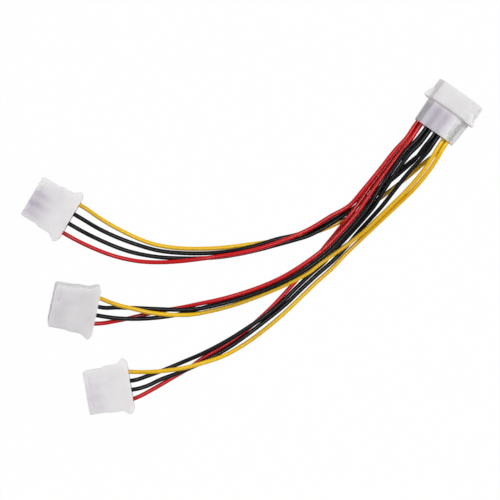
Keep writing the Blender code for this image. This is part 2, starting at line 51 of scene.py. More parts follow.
# Where each housing lies: the middle of its wire face, then nose direction, pitch and roll in degrees
housingPlaces = {
    "input_housing": ((0.085, 0.054, 0.008753), 54.0, 0.0, 15.0),
    "output_housing_a": ((-0.0853, 0.0132, 0.0044), 149.3, 0.0, 0.0),
    "output_housing_b": ((-0.0735, -0.0302, 0.006225), 169.5, 10.0, 15.0),
    "output_housing_c": ((-0.0571, -0.0654, 0.0044), 189.8, 0.0, 0.0),
}
inputWays = {"red": -1.5, "black_1": -0.5, "black_2": 0.5, "yellow": 1.5}  # pitches from the middle
outputWays = {"red": -1.5, "black_2": -0.5, "black_1": 0.5, "yellow": 1.5}


def housingFrame(name):
    place, nose, pitch, roll = housingPlaces[name]
    turn = Euler((math.radians(pitch), math.radians(-roll), math.radians(nose - 90.0)), "YXZ")
    return Matrix.Translation(place) @ turn.to_matrix().to_4x4()


frames = {name: housingFrame(name) for name in housingPlaces}


# Small helpers: each piece is built about its housing's own frame and then put in its place
def linkObject(name, data):
    obj = bpy.data.objects.new(name, data)
    bpy.context.scene.collection.objects.link(obj)
    return obj


def discard(obj):
    bpy.data.objects.remove(obj, do_unlink=True)


def evaluatedMesh(obj):
    bpy.context.view_layer.update()
    evaluated = obj.evaluated_get(bpy.context.evaluated_depsgraph_get())
    return bpy.data.meshes.new_from_object(evaluated)


def bake(obj):
    mesh = evaluatedMesh(obj)
    obj.modifiers.clear()
    obj.data = mesh
    return obj


def clean(mesh, distance=0.000002, flat=False):
    shape = bmesh.new()
    shape.from_mesh(mesh)
    bmesh.ops.remove_doubles(shape, verts=shape.verts, dist=distance)
    if flat:  # faces of one plane become one face
        bmesh.ops.dissolve_limit(shape, angle_limit=math.radians(1.0), verts=shape.verts, edges=shape.edges)
    bmesh.ops.recalc_face_normals(shape, faces=shape.faces)
    shape.to_mesh(mesh)
    shape.free()


def outlineSolid(name, outline, thickness):
    curve = bpy.data.curves.new(name, "CURVE")
    curve.dimensions = "2D"
    curve.fill_mode = "BOTH"
    curve.extrude = thickness / 2
    spline = curve.splines.new("POLY")
    spline.points.add(len(outline) - 1)
    for point, (x, y) in zip(spline.points, outline):
        point.co = (x, y, 0.0, 1.0)
    spline.use_cyclic_u = True
    guide = linkObject(name + "Outline", curve)
    mesh = evaluatedMesh(guide)
    discard(guide)
    mesh.materials.clear()
    clean(mesh, flat=True)
    return linkObject(name, mesh)


def sectionSolid(name, section, start, end):  # a section drawn in XZ, running along +Y
    solid = outlineSolid(name, section, end - start)
    middle = (start + end) / 2
    for vertex in solid.data.vertices:
        x, y, z = vertex.co
        vertex.co = (x, middle - z, y)
    clean(solid.data)
    return solid


def joinShapes(body, tools, operation):
    for tool in tools:
        step = body.modifiers.new(operation.lower(), "BOOLEAN")
        step.operation = operation
        step.solver = "EXACT"
        step.object = tool
    bake(body)
    for tool in tools:
        discard(tool)
    clean(body.data, flat=True)
    return body


def roundEdges(body, width, segments=3, angle=28.0):
    bevel = body.modifiers.new("roundEdges", "BEVEL")
    bevel.width = width
    bevel.segments = segments
    bevel.limit_method = "ANGLE"
    bevel.angle_limit = math.radians(angle)
    bevel.miter_outer = "MITER_ARC"
    bake(body)
    clean(body.data)
    return body


def smoothShade(obj, angle=42.0):
    obj.data.shade_smooth()
    obj.data.set_sharp_from_angle(angle=math.radians(angle))
    weighted = obj.modifiers.new("evenNormals", "WEIGHTED_NORMAL")
    weighted.keep_sharp = True
    bake(obj)
    return obj


def placeIn(obj, matrix):
    obj.data.transform(matrix)
    return obj


def arc(centre, radius, start, end, count):
    angles = np.radians(np.linspace(start, end, count))
    return [(centre[0] + radius * math.cos(a), centre[1] + radius * math.sin(a)) for a in angles]


def bothSides(right):
    return right + [(-x, y) for x, y in reversed(right)]


def turnedSolid(name, profile, sides):  # (radius, distance) points from the front, about +Y
    mesh = bpy.data.meshes.new(name)
    points = [(radius, 0.0, distance) for radius, distance in profile]
    mesh.from_pydata(points, [(i, i + 1) for i in range(len(points) - 1)], [])
    obj = linkObject(name, mesh)
    screw = obj.modifiers.new("turn", "SCREW")
    screw.axis = "Z"
    screw.steps = sides
    screw.render_steps = sides
    screw.use_merge_vertices = True
    screw.merge_threshold = 0.000005
    bake(obj)
    obj.data.transform(Matrix.Rotation(-math.pi / 2, 4, "X"))
    clean(obj.data)
    return obj


# Geometry Nodes: a row of round cavities, one to each way, with a wider mouth
def nodeInput(tree, name, kind, value=None):
    socket = tree.interface.new_socket(name, in_out="INPUT", socket_type=kind)
    if value is not None:
        socket.default_value = value
    return socket


def setInputs(modifier, values):
    for item in modifier.node_group.interface.items_tree:
        if item.item_type == "SOCKET" and item.in_out == "INPUT" and item.name in values:
            modifier[item.identifier] = values[item.name]


def addNode(tree, kind, **settings):
    node = tree.nodes.new(kind)
    for name, value in settings.items():
        setattr(node, name, value)
    return node


def cavityRowTree():
    tree = bpy.data.node_groups.new("cavityRow", "GeometryNodeTree")
    nodeInput(tree, "Geometry", "NodeSocketGeometry")
    for name, value in (("Pitch", 0.005), ("Radius", 0.002), ("Mouth Radius", 0.002), ("Depth", 0.01),
                        ("Start", 0.0), ("First Way", -0.0075)):
        nodeInput(tree, name, "NodeSocketFloat", value)
    nodeInput(tree, "Ways", "NodeSocketInt", 4)
    nodeInput(tree, "Sides", "NodeSocketInt", 48)
    nodeInput(tree, "Finish", "NodeSocketMaterial")
    tree.interface.new_socket("Geometry", in_out="OUTPUT", socket_type="NodeSocketGeometry")
    link = tree.links.new
    given = addNode(tree, "NodeGroupInput")
    row = addNode(tree, "GeometryNodeMeshLine", mode="OFFSET")
    offset = addNode(tree, "ShaderNodeCombineXYZ")
    first = addNode(tree, "ShaderNodeCombineXYZ")
    cone = addNode(tree, "GeometryNodeMeshCone", fill_type="NGON")
    copies = addNode(tree, "GeometryNodeInstanceOnPoints")
    copies.inputs["Rotation"].default_value = (-math.pi / 2, 0.0, 0.0)
    real = addNode(tree, "GeometryNodeRealizeInstances")
    finish = addNode(tree, "GeometryNodeSetMaterial")
    result = addNode(tree, "NodeGroupOutput")
    link(given.outputs["Pitch"], offset.inputs["X"])
    link(given.outputs["First Way"], first.inputs["X"])
    link(given.outputs["Start"], first.inputs["Y"])
    link(given.outputs["Ways"], row.inputs["Count"])
    link(offset.outputs[0], row.inputs["Offset"])
    link(first.outputs[0], row.inputs["Start Location"])
    link(given.outputs["Sides"], cone.inputs["Vertices"])
    link(given.outputs["Radius"], cone.inputs["Radius Top"])
    link(given.outputs["Mouth Radius"], cone.inputs["Radius Bottom"])
    link(given.outputs["Depth"], cone.inputs["Depth"])
    link(row.outputs["Mesh"], copies.inputs["Points"])
    link(cone.outputs["Mesh"], copies.inputs["Instance"])
    link(copies.outputs["Instances"], real.inputs["Geometry"])
    link(real.outputs["Geometry"], finish.inputs["Geometry"])
    link(given.outputs["Finish"], finish.inputs["Material"])
    link(finish.outputs["Geometry"], result.inputs["Geometry"])
    return tree


cavityRow = cavityRowTree()


def cavities(start, end, startRadius, endRadius):
    holder = linkObject("cavities", bpy.data.meshes.new("cavities"))
    step = holder.modifiers.new("cavityRow", "NODES")
    step.node_group = cavityRow
    setInputs(step, {
        "Pitch": family["pitch"], "First Way": -1.5 * family["pitch"], "Start": start,
        "Depth": end - start, "Mouth Radius": startRadius, "Radius": endRadius, "Ways": 4, "Sides": 48,
    })
    bake(holder)
    clean(holder.data)
    return holder


# Shader group: slow mottling of colour with a fine skin that varies the roughness, shared by every finish
skinShape = {
    "mottleDetail": 3.0, "skinDetail": 5.0, "bumpDistance": 0.0002,
    "lowNoise": 0.32, "highNoise": 0.68,  # where the mottling is all dark and all light
}


def mottledSkinGroup():
    group = bpy.data.node_groups.new("mottledSkin", "ShaderNodeTree")
    for name, kind in (("Vector", "NodeSocketVector"), ("Light Colour", "NodeSocketColor"),
                       ("Dark Colour", "NodeSocketColor"), ("Mottle Scale", "NodeSocketFloat"),
                       ("Skin Scale", "NodeSocketFloat"), ("Low Roughness", "NodeSocketFloat"),
                       ("High Roughness", "NodeSocketFloat"), ("Skin Height", "NodeSocketFloat")):
        group.interface.new_socket(name, in_out="INPUT", socket_type=kind)
    for name, kind in (("Colour", "NodeSocketColor"), ("Roughness", "NodeSocketFloat"),
                       ("Normal", "NodeSocketVector")):
        group.interface.new_socket(name, in_out="OUTPUT", socket_type=kind)
    link = group.links.new
    given = addNode(group, "NodeGroupInput")
    mottle = addNode(group, "ShaderNodeTexNoise")
    mottle.inputs["Detail"].default_value = skinShape["mottleDetail"]
    skin = addNode(group, "ShaderNodeTexNoise")
    skin.inputs["Detail"].default_value = skinShape["skinDetail"]
    spread = addNode(group, "ShaderNodeMapRange")
    spread.inputs["From Min"].default_value = skinShape["lowNoise"]
    spread.inputs["From Max"].default_value = skinShape["highNoise"]
    colour = addNode(group, "ShaderNodeMix", data_type="RGBA")
    rough = addNode(group, "ShaderNodeMapRange")
    bump = addNode(group, "ShaderNodeBump")
    bump.inputs["Distance"].default_value = skinShape["bumpDistance"]
    result = addNode(group, "NodeGroupOutput")
    link(given.outputs["Vector"], mottle.inputs["Vector"])
    link(given.outputs["Mottle Scale"], mottle.inputs["Scale"])
    link(given.outputs["Vector"], skin.inputs["Vector"])
    link(given.outputs["Skin Scale"], skin.inputs["Scale"])
    link(mottle.outputs["Fac"], spread.inputs["Value"])
    link(spread.outputs["Result"], colour.inputs["Factor"])
    link(given.outputs["Dark Colour"], colour.inputs["A"])
    link(given.outputs["Light Colour"], colour.inputs["B"])
    link(skin.outputs["Fac"], rough.inputs["Value"])
    link(given.outputs["Low Roughness"], rough.inputs["To Min"])
    link(given.outputs["High Roughness"], rough.inputs["To Max"])
    link(skin.outputs["Fac"], bump.inputs["Height"])
    link(given.outputs["Skin Height"], bump.inputs["Strength"])
    link(colour.outputs["Result"], result.inputs["Colour"])
    link(rough.outputs["Result"], result.inputs["Roughness"])
    link(bump.outputs["Normal"], result.inputs["Normal"])
    return group


mottledSkin = mottledSkinGroup()


def newMaterial(name, sockets):
    material = bpy.data.materials.new(name)
    material.use_nodes = True
    shader = material.node_tree.nodes["Principled BSDF"]
    for socket, value in sockets.items():
        shader.inputs[socket].default_value = value
    return material, material.node_tree, shader


def addSkin(tree, shader, vector, values):
    skin = addNode(tree, "ShaderNodeGroup", node_tree=mottledSkin)
    for name, value in values.items():
        skin.inputs[name].default_value = value
    tree.links.new(vector, skin.inputs["Vector"])
    tree.links.new(skin.outputs["Colour"], shader.inputs["Base Color"])
    tree.links.new(skin.outputs["Roughness"], shader.inputs["Roughness"])
    tree.links.new(skin.outputs["Normal"], shader.inputs["Normal"])
    return skin


# Shader group: painted shade on the milky wall, standing in for the terminals and wires inside seen through
# it; darkest over the ways, a little towards the red way
paintedShadeShape = {
    "even": 0.85, "overWays": 0.15,  # shade everywhere, and what each way adds or each wall takes away
    "middle": -0.002, "halfWidth": 0.01,  # the darkest line lies towards the red way
    "least": 0.1,
}


def paintedShadeGroup():
    group = bpy.data.node_groups.new("paintedShade", "ShaderNodeTree")
    for name, kind in (("Place", "NodeSocketVector"), ("Start", "NodeSocketFloat"),
                       ("End", "NodeSocketFloat"), ("Blur", "NodeSocketFloat"),
                       ("Pitch", "NodeSocketFloat"), ("Strength", "NodeSocketFloat")):
        group.interface.new_socket(name, in_out="INPUT", socket_type=kind)
    group.interface.new_socket("Mask", in_out="OUTPUT", socket_type="NodeSocketFloat")
    link = group.links.new

    def math2(operation, first, second):
        node = addNode(group, "ShaderNodeMath", operation=operation)
        for socket, value in zip(node.inputs, (first, second)):
            if isinstance(value, (int, float)):
                socket.default_value = value
            else:
                link(value, socket)
        return node.outputs[0]

    given = addNode(group, "NodeGroupInput")
    split = addNode(group, "ShaderNodeSeparateXYZ")
    link(given.outputs["Place"], split.inputs[0])
    edges = []
    for edge, sign in (("Start", 1.0), ("End", -1.0)):
        past = math2("MULTIPLY", math2("SUBTRACT", split.outputs["Y"], given.outputs[edge]), sign)
        edges.append(math2("DIVIDE", past, given.outputs["Blur"]))
    band = addNode(group, "ShaderNodeMapRange", interpolation_type="SMOOTHSTEP")
    link(math2("MINIMUM", edges[0], edges[1]), band.inputs["Value"])
    band.inputs["From Min"].default_value = -1.0
    turns = math2("MULTIPLY", math2("DIVIDE", split.outputs["X"], given.outputs["Pitch"]), 2 * math.pi)
    lanes = math2("MULTIPLY", math2("COSINE", turns, 0.0), -paintedShadeShape["overWays"])
    aside = math2("SUBTRACT", split.outputs["X"], paintedShadeShape["middle"])
    aside = math2("DIVIDE", aside, paintedShadeShape["halfWidth"])
    across = math2("SUBTRACT", 1.0, math2("MULTIPLY", aside, aside))
    across = math2("MAXIMUM", across, paintedShadeShape["least"])  # the painted shade fades towards the yellow way and the side walls
    shade = math2("MULTIPLY", math2("ADD", lanes, paintedShadeShape["even"]), across)
    shade = math2("MULTIPLY", shade, band.outputs["Result"])
    result = addNode(group, "NodeGroupOutput")
    link(math2("MULTIPLY", shade, given.outputs["Strength"]), result.inputs["Mask"])
    return group


paintedShade = paintedShadeGroup()

nylonLook = {
    # inside is the colour of the painted shade; seen says where and how strongly each housing is darkened
    # with it
    "inside": (0.42, 0.39, 0.47, 1.0),
    "seen": {
        "output_housing_a": {"Start": 0.0125, "End": 0.03, "Blur": 0.006, "Strength": 0.85},
        "output_housing_b": {"Start": 0.0135, "End": 0.025, "Blur": 0.003, "Strength": 0.2},
        "output_housing_c": {"Start": 0.0135, "End": 0.025, "Blur": 0.003, "Strength": 0.35},
        "input_housing": {"Start": -0.004, "End": 0.0115, "Blur": 0.003, "Strength": 0.92},
    },
    "shader": {
        "IOR": 1.5, "Subsurface Weight": 0.75, "Subsurface Radius": (0.006, 0.0055, 0.0058),
        "Subsurface Scale": 1.0, "Specular IOR Level": 0.2,
    },
    "skin": {
        "Light Colour": (0.885, 0.85, 0.875, 1.0), "Dark Colour": (0.82, 0.78, 0.815, 1.0),
        "Mottle Scale": 130.0, "Skin Scale": 1400.0, "Low Roughness": 0.4, "High Roughness": 0.55,
        "Skin Height": 0.02,
    },
}


def nylonMaterial(name):
    material, tree, shader = newMaterial("milkyNylon_" + name, nylonLook["shader"])
    place = addNode(tree, "ShaderNodeTexCoord")
    skin = addSkin(tree, shader, place.outputs["Object"], nylonLook["skin"])
    # painted shade: the skin colour is darkened towards inside over the ways
    within = addNode(tree, "ShaderNodeAttribute", attribute_name="housingPlace")
    inside = addNode(tree, "ShaderNodeGroup", node_tree=paintedShade)
    for socket, value in {"Pitch": family["pitch"], **nylonLook["seen"][name]}.items():
        inside.inputs[socket].default_value = value
    darken = addNode(tree, "ShaderNodeMix", data_type="RGBA")
    darken.inputs["B"].default_value = nylonLook["inside"]
    tree.links.new(within.outputs["Vector"], inside.inputs["Place"])
    tree.links.new(inside.outputs["Mask"], darken.inputs["Factor"])
    tree.links.new(skin.outputs["Colour"], darken.inputs["A"])
    tree.links.new(darken.outputs["Result"], shader.inputs["Base Color"])
    return material


tinLook = {
    "shader": {"Metallic": 1.0},
    "skin": {
        "Light Colour": (0.74, 0.73, 0.71, 1.0), "Dark Colour": (0.55, 0.53, 0.5, 1.0),
        "Mottle Scale": 500.0, "Skin Scale": 2500.0, "Low Roughness": 0.18, "High Roughness": 0.42,
        "Skin Height": 0.08,
    },
}


def tinMaterial():
    material, tree, shader = newMaterial("tinPlate", tinLook["shader"])
    place = addNode(tree, "ShaderNodeTexCoord")
    addSkin(tree, shader, place.outputs["Object"], tinLook["skin"])
    return material


# PVC: the skin follows the wire, drawn out along it as it left the extruder
pvcLook = {
    "drawOut": 0.06,  # width of the marks as a share of their length
    "skin": {
        "Mottle Scale": 350.0, "Skin Scale": 900.0, "Low Roughness": 0.28, "High Roughness": 0.32,
        "Skin Height": 0.003,
    },
    "gloss": {"red": 0.14, "black": 0.08, "yellow": 0.14},
    "red": {"Light Colour": (0.6, 0.003, 0.007, 1.0), "Dark Colour": (0.48, 0.002, 0.004, 1.0)},
    "black": {"Light Colour": (0.0035, 0.0026, 0.005, 1.0), "Dark Colour": (0.001, 0.001, 0.002, 1.0)},
    "yellow": {"Light Colour": (0.87, 0.54, 0.007, 1.0), "Dark Colour": (0.74, 0.41, 0.004, 1.0)},
}


def pvcMaterial(colour):
    material, tree, shader = newMaterial(colour + "Pvc", {"Specular IOR Level": pvcLook["gloss"][colour]})
    ring = addNode(tree, "ShaderNodeAttribute", attribute_name="wireRing")
    along = addNode(tree, "ShaderNodeAttribute", attribute_name="wireLength")
    split = addNode(tree, "ShaderNodeSeparateXYZ")
    drawn = addNode(tree, "ShaderNodeMath", operation="MULTIPLY")
    drawn.inputs[1].default_value = pvcLook["drawOut"]
    joined = addNode(tree, "ShaderNodeCombineXYZ")
    link = tree.links.new
    link(ring.outputs["Vector"], split.inputs[0])
    link(along.outputs["Fac"], drawn.inputs[0])
    link(split.outputs["X"], joined.inputs["X"])
    link(split.outputs["Y"], joined.inputs["Y"])
    link(drawn.outputs[0], joined.inputs["Z"])
    addSkin(tree, shader, joined.outputs[0], {**pvcLook["skin"], **pvcLook[colour]})
    return material


nylon = {name: nylonMaterial(name) for name in nylonLook["seen"]}
tin = tinMaterial()
pvc = {colour: pvcMaterial(colour) for colour in ("red", "black", "yellow")}
print("finishes ready")


def finishPiece(piece, material, matrix, nodes):
    smoothShade(piece)
    places = np.empty(3 * len(piece.data.vertices), np.float32)
    piece.data.vertices.foreach_get("co", places)
    kept = piece.data.attributes.new("housingPlace", "FLOAT_VECTOR", "POINT")
    kept.data.foreach_set("vector", places)  # so that the material knows where each way runs
    placeIn(piece, matrix)
    piece.data.materials.clear()
    piece.data.materials.append(material)
    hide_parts(*nodes)
    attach(piece, "root")
    return piece


# Cutting shapes: how wide a key block is, and how far each shape reaches past what it cuts
cutter = {"keySize": 0.02, "keyPast": 0.002, "past": 0.001, "mouthPast": 0.0001}


def rectangle(half, start, end):
    return [(-half, start), (half, start), (half, end), (-half, end)]


def keyBlock(half, height, leg, side, length):  # its 45 degree face is the key plane
    size = cutter["keySize"]
    whole = length + 2 * cutter["keyPast"]
    mesh = bpy.data.meshes.new("key")
    shape = bmesh.new()
    bmesh.ops.create_cube(shape, size=1.0)
    bmesh.ops.scale(shape, vec=(size, whole, size), verts=shape.verts)
    reach = (half + height / 2 - leg) / math.sqrt(2.0) + size / 2
    away = reach / math.sqrt(2.0)
    turn = Matrix.Rotation(math.radians(45.0), 4, "Y")
    place = Matrix.Translation((side[0] * away, whole / 2 - cutter["keyPast"], side[1] * away))
    bmesh.ops.transform(shape, matrix=place @ turn, verts=shape.verts)
    shape.to_mesh(mesh)
    shape.free()
    return linkObject("key", mesh)


# Output housing: lies with its chamfered side down
plugSizes = {
    "length": 0.0212, "height": 0.0088, "noseHalf": 0.0104, "bodyHalf": 0.011,
    "corner": 0.001, "taperStart": 0.013, "taperEnd": 0.011, "keyLeg": 0.003,
    "earHalf": 0.0133, "earStart": 0.0065, "earRoot": 0.0026, "earTip": 0.0019, "earTipRadius": 0.0007,
    "earBackDrop": 0.0006, "earBackInset": 0.0009,
    "frontBore": 0.00185, "rearBore": 0.0022, "boreStep": 0.012, "edgeRound": 0.0004,
    "mouthChamfer": 0.0003, "padDepth": 0.00018, "padLength": 0.0043, "padWidth": 0.0012,
    "padFromFront": 0.0021, "padFromMiddle": 0.0051, "padRound": 0.8,  # share of the depth
    "tipTurn": (-50.0, 60.0), "flareTurn": (232.0, 180.0),  # degrees
}


def plugOutline():
    s = plugSizes
    flareRadius = s["earStart"] - s["earRoot"]
    flare = arc((s["bodyHalf"] + flareRadius, s["earStart"]), flareRadius, *s["flareTurn"], 14)
    tip = arc((s["earHalf"] - s["earTipRadius"], s["earTip"]), s["earTipRadius"], *s["tipTurn"], 9)
    right = [(s["bodyHalf"], 0.0), (s["earHalf"] - s["earBackInset"], s["earBackDrop"])] + tip + flare
    right += [(s["bodyHalf"], s["taperEnd"]), (s["noseHalf"], s["taperStart"])]
    right += arc((s["noseHalf"] - s["corner"], s["length"] - s["corner"]), s["corner"], 0.0, 90.0, 7)
    return bothSides(right)


def recessPad(side):
    s = plugSizes
    pad = outlineSolid("pad", rectangle(s["padLength"] / 2, -s["padWidth"] / 2, s["padWidth"] / 2),
                       2 * s["padDepth"])
    roundEdges(pad, s["padDepth"] * s["padRound"], 2)
    place = (side * s["padFromMiddle"], s["length"] - s["padFromFront"], s["height"] / 2)
    return placeIn(pad, Matrix.Translation(place))


def outputHousing(name):
    s = plugSizes
    body = outlineSolid(name + "_moulding", plugOutline(), s["height"])
    keys = [keyBlock(s["bodyHalf"], s["height"], s["keyLeg"], (side, -1), s["length"])
            for side in (-1, 1)]
    joinShapes(body, keys, "DIFFERENCE")
    roundEdges(body, s["edgeRound"], 4)
    chamfer = s["mouthChamfer"]
    front = s["length"]
    past = cutter["past"]
    skim = cutter["mouthPast"]
    holes = [
        cavities(-past, s["boreStep"], s["rearBore"], s["rearBore"]),
        cavities(s["boreStep"] - past, front + past, s["frontBore"], s["frontBore"]),
        cavities(-skim, chamfer, s["rearBore"] + chamfer + skim, s["rearBore"]),
        cavities(front - chamfer, front + skim, s["frontBore"], s["frontBore"] + chamfer + skim),
    ]
    for hole in holes:
        joinShapes(body, [hole], "DIFFERENCE")
    joinShapes(body, [recessPad(side) for side in (-1, 1)], "DIFFERENCE")
    return finishPiece(body, nylon[name], frames[name], [name])


# Input housing: a block around the wire ways, and a shroud with side flares around the pins
capSizes = {
    "blockLength": 0.012, "blockHeight": 0.0096, "rearHalf": 0.0105, "frontHalf": 0.0112,
    "blockLeg": 0.0046, "bore": 0.00235, "webStart": 0.01, "shroudLength": 0.0103, "floor": 0.0009,
    "innerHalf": 0.0106, "innerHeight": 0.0094, "wall": 0.0012, "shroudLeg": 0.003,
    "flareHalf": 0.0135, "flareLength": 0.0041, "flareHeight": 0.0072, "flareBack": 0.0001,
    "flareTip": 0.0009, "flareDraft": 0.0002, "edgeRound": 0.00035, "mouthChamfer": 0.00025,
    "backRound": 0.00105, "overlap": 0.0005,  # how far the block reaches into the shroud's floor
}


def keyedSection(half, height, leg):  # the two upper corners are cut at 45 degrees
    z = height / 2
    return [(-half, z - leg), (-half, -z), (half, -z), (half, z - leg), (half - leg, z), (leg - half, z)]


def softenBack(piece, back, radius):  # round over the edge where a shape begins
    near = 0.000001
    shape = bmesh.new()
    shape.from_mesh(piece.data)
    edges = [edge for edge in shape.edges if all(abs(vert.co.y - back) < near for vert in edge.verts)]
    bmesh.ops.bevel(shape, geom=edges, offset=radius, segments=4, profile=0.5, affect="EDGES")
    shape.to_mesh(piece.data)
    shape.free()


def inputHousing(name):
    s = capSizes
    outerHalf = s["innerHalf"] + s["wall"]
    outerHeight = s["innerHeight"] + 2 * s["wall"]
    outerLeg = s["shroudLeg"] + s["wall"] * (2.0 - math.sqrt(2.0))
    mouth = s["blockLength"] + s["shroudLength"]
    floor = s["blockLength"] + s["floor"]
    body = sectionSolid(name + "_moulding", keyedSection(outerHalf, outerHeight, outerLeg),
                        s["blockLength"], mouth)
    softenBack(body, s["blockLength"], s["backRound"])
    plan = bothSides([(s["rearHalf"], 0.0), (s["frontHalf"], s["blockLength"] + s["overlap"])])
    block = outlineSolid("block", plan, s["blockHeight"])
    keys = [keyBlock(s["frontHalf"], s["blockHeight"], s["blockLeg"], (side, 1), s["blockLength"])
            for side in (-1, 1)]
    joinShapes(block, keys, "DIFFERENCE")
    back = s["blockLength"] + s["flareBack"]
    tip = s["blockLength"] + s["flareTip"]
    front = tip + s["flareLength"]
    flarePlan = bothSides([(s["flareHalf"] - s["flareDraft"], back), (s["flareHalf"], tip),
                           (outerHalf, front), (s["innerHalf"], front)])
    flares = outlineSolid("flares", flarePlan, s["flareHeight"])
    joinShapes(body, [block], "UNION")
    joinShapes(body, [flares], "UNION")
    roundEdges(body, s["edgeRound"], 3)
    inside = sectionSolid("inside", keyedSection(s["innerHalf"], s["innerHeight"], s["shroudLeg"]),
                          floor, mouth + cutter["past"])
    joinShapes(body, [inside], "DIFFERENCE")
    chamfer = s["mouthChamfer"]
    webRadius = family["pinRadius"] + family["gap"]
    past = cutter["past"]
    skim = cutter["mouthPast"]
    holes = [
        cavities(-past, s["webStart"], s["bore"], s["bore"]),
        cavities(s["webStart"] - past, floor + past, webRadius, webRadius),
        cavities(floor - chamfer, floor + skim, webRadius, webRadius + chamfer + skim),
    ]
    for hole in holes:
        joinShapes(body, [hole], "DIFFERENCE")
    return finishPiece(body, nylon[name], frames[name], [name, "input_shroud"])


inputHousing("input_housing")
for branch in "abc":
    outputHousing("output_housing_" + branch)
print("housings moulded")


# Terminals: pins in the input housing, split sleeves in the output housings
terminalSizes = {
    "sides": 32,
    "pinTip": 0.0211, "pinShoulder": 0.0097, "pinRear": 0.0053, "pinCrimp": 0.0018,
    "tipStretch": 1.35,  # length of the rounded tip as a share of the pin's radius
    "grooveFromTip": 0.0082,
    "groove": ((0.0, 0.0), (0.00008, 0.00012), (0.00008, 0.0004), (0.0, 0.0005)),  # depth, how far back
    "crimpEdge": 0.00015, "crimpFront": 0.0003, "crimpFull": 0.0005,
    "sleeveOuter": 0.00155, "sleeveInner": 0.001125, "sleeveStart": 0.01, "sleeveEnd": 0.0202,
    "sleeveFloor": 0.0006, "sleeveBack": 0.0006, "lip": 0.00012,
    "neck": 0.0009, "neckBack": 0.0012, "crimpShoulder": 0.0005,
    "crimpOuter": 0.0017, "crimpInner": 0.0013, "crimpStart": 0.0052, "crimpWall": 0.0068,
    "slit": 0.00028, "slitFromStart": 0.0008, "slitDepth": 0.002, "slitMiddle": 0.0013,
}


def pinProfile():
    s = terminalSizes
    r = family["pinRadius"]
    edge = s["crimpEdge"]
    shoulder = s["pinShoulder"]
    tip = [(r * math.sin(a), s["pinTip"] - s["tipStretch"] * r * (1.0 - math.cos(a)))
           for a in np.radians(np.linspace(0.0, 90.0, 9))]
    groove = [(r - depth, s["pinTip"] - s["grooveFromTip"] - back) for depth, back in s["groove"]]
    crimp = [(s["pinCrimp"] - edge, shoulder - s["crimpFront"]), (s["pinCrimp"], shoulder - s["crimpFull"]),
             (s["pinCrimp"], s["pinRear"] + edge), (s["pinCrimp"] - edge, s["pinRear"]), (0.0, s["pinRear"])]
    return tip + groove + [(r, shoulder)] + crimp


def socketProfile():
    s = terminalSizes
    floor = s["sleeveStart"] + s["sleeveFloor"]
    lip = s["lip"]
    return [(0.0, floor), (s["sleeveInner"], floor), (s["sleeveInner"], s["sleeveEnd"] - lip),
            (s["sleeveInner"] + lip, s["sleeveEnd"]), (s["sleeveOuter"] - lip, s["sleeveEnd"]),
            (s["sleeveOuter"], s["sleeveEnd"] - lip), (s["sleeveOuter"], s["sleeveStart"] + lip),
            (s["sleeveOuter"] - lip, s["sleeveStart"]), (s["neck"], s["sleeveStart"] - s["sleeveBack"]),
            (s["neck"], s["crimpWall"] + s["neckBack"]),
            (s["crimpOuter"], s["crimpWall"] + s["crimpShoulder"]),
            (s["crimpOuter"], s["crimpStart"]), (s["crimpInner"], s["crimpStart"]),
            (s["crimpInner"], s["crimpWall"]), (0.0, s["crimpWall"])]


def slitBlock():  # cuts the rolled sleeve's open seam, on its upper side
    s = terminalSizes
    start = s["sleeveStart"] + s["slitFromStart"]
    outline = rectangle(s["slit"] / 2, start, s["sleeveEnd"] + cutter["past"])
    block = outlineSolid("slit", outline, s["slitDepth"])
    return placeIn(block, Matrix.Translation((0.0, 0.0, s["slitMiddle"])))


def pinTerminal(colour):
    pin = turnedSolid("input_pin_" + colour + "_plated", pinProfile(), terminalSizes["sides"])
    place = frames["input_housing"] @ Matrix.Translation((inputWays[colour] * family["pitch"], 0.0, 0.0))
    return finishPiece(pin, tin, place, ["input_pin_" + colour])


def socketTerminal(branch, colour):
    node = f"socket_{branch}_{colour}"
    sleeve = turnedSolid(node + "_plated", socketProfile(), terminalSizes["sides"])
    joinShapes(sleeve, [slitBlock()], "DIFFERENCE")
    place = frames["output_housing_" + branch]
    place = place @ Matrix.Translation((outputWays[colour] * family["pitch"], 0.0, 0.0))
    return finishPiece(sleeve, tin, place, [node])


for colour in inputWays:
    pinTerminal(colour)
for branch in "abc":
    for colour in outputWays:
        socketTerminal(branch, colour)
print("terminals plated")


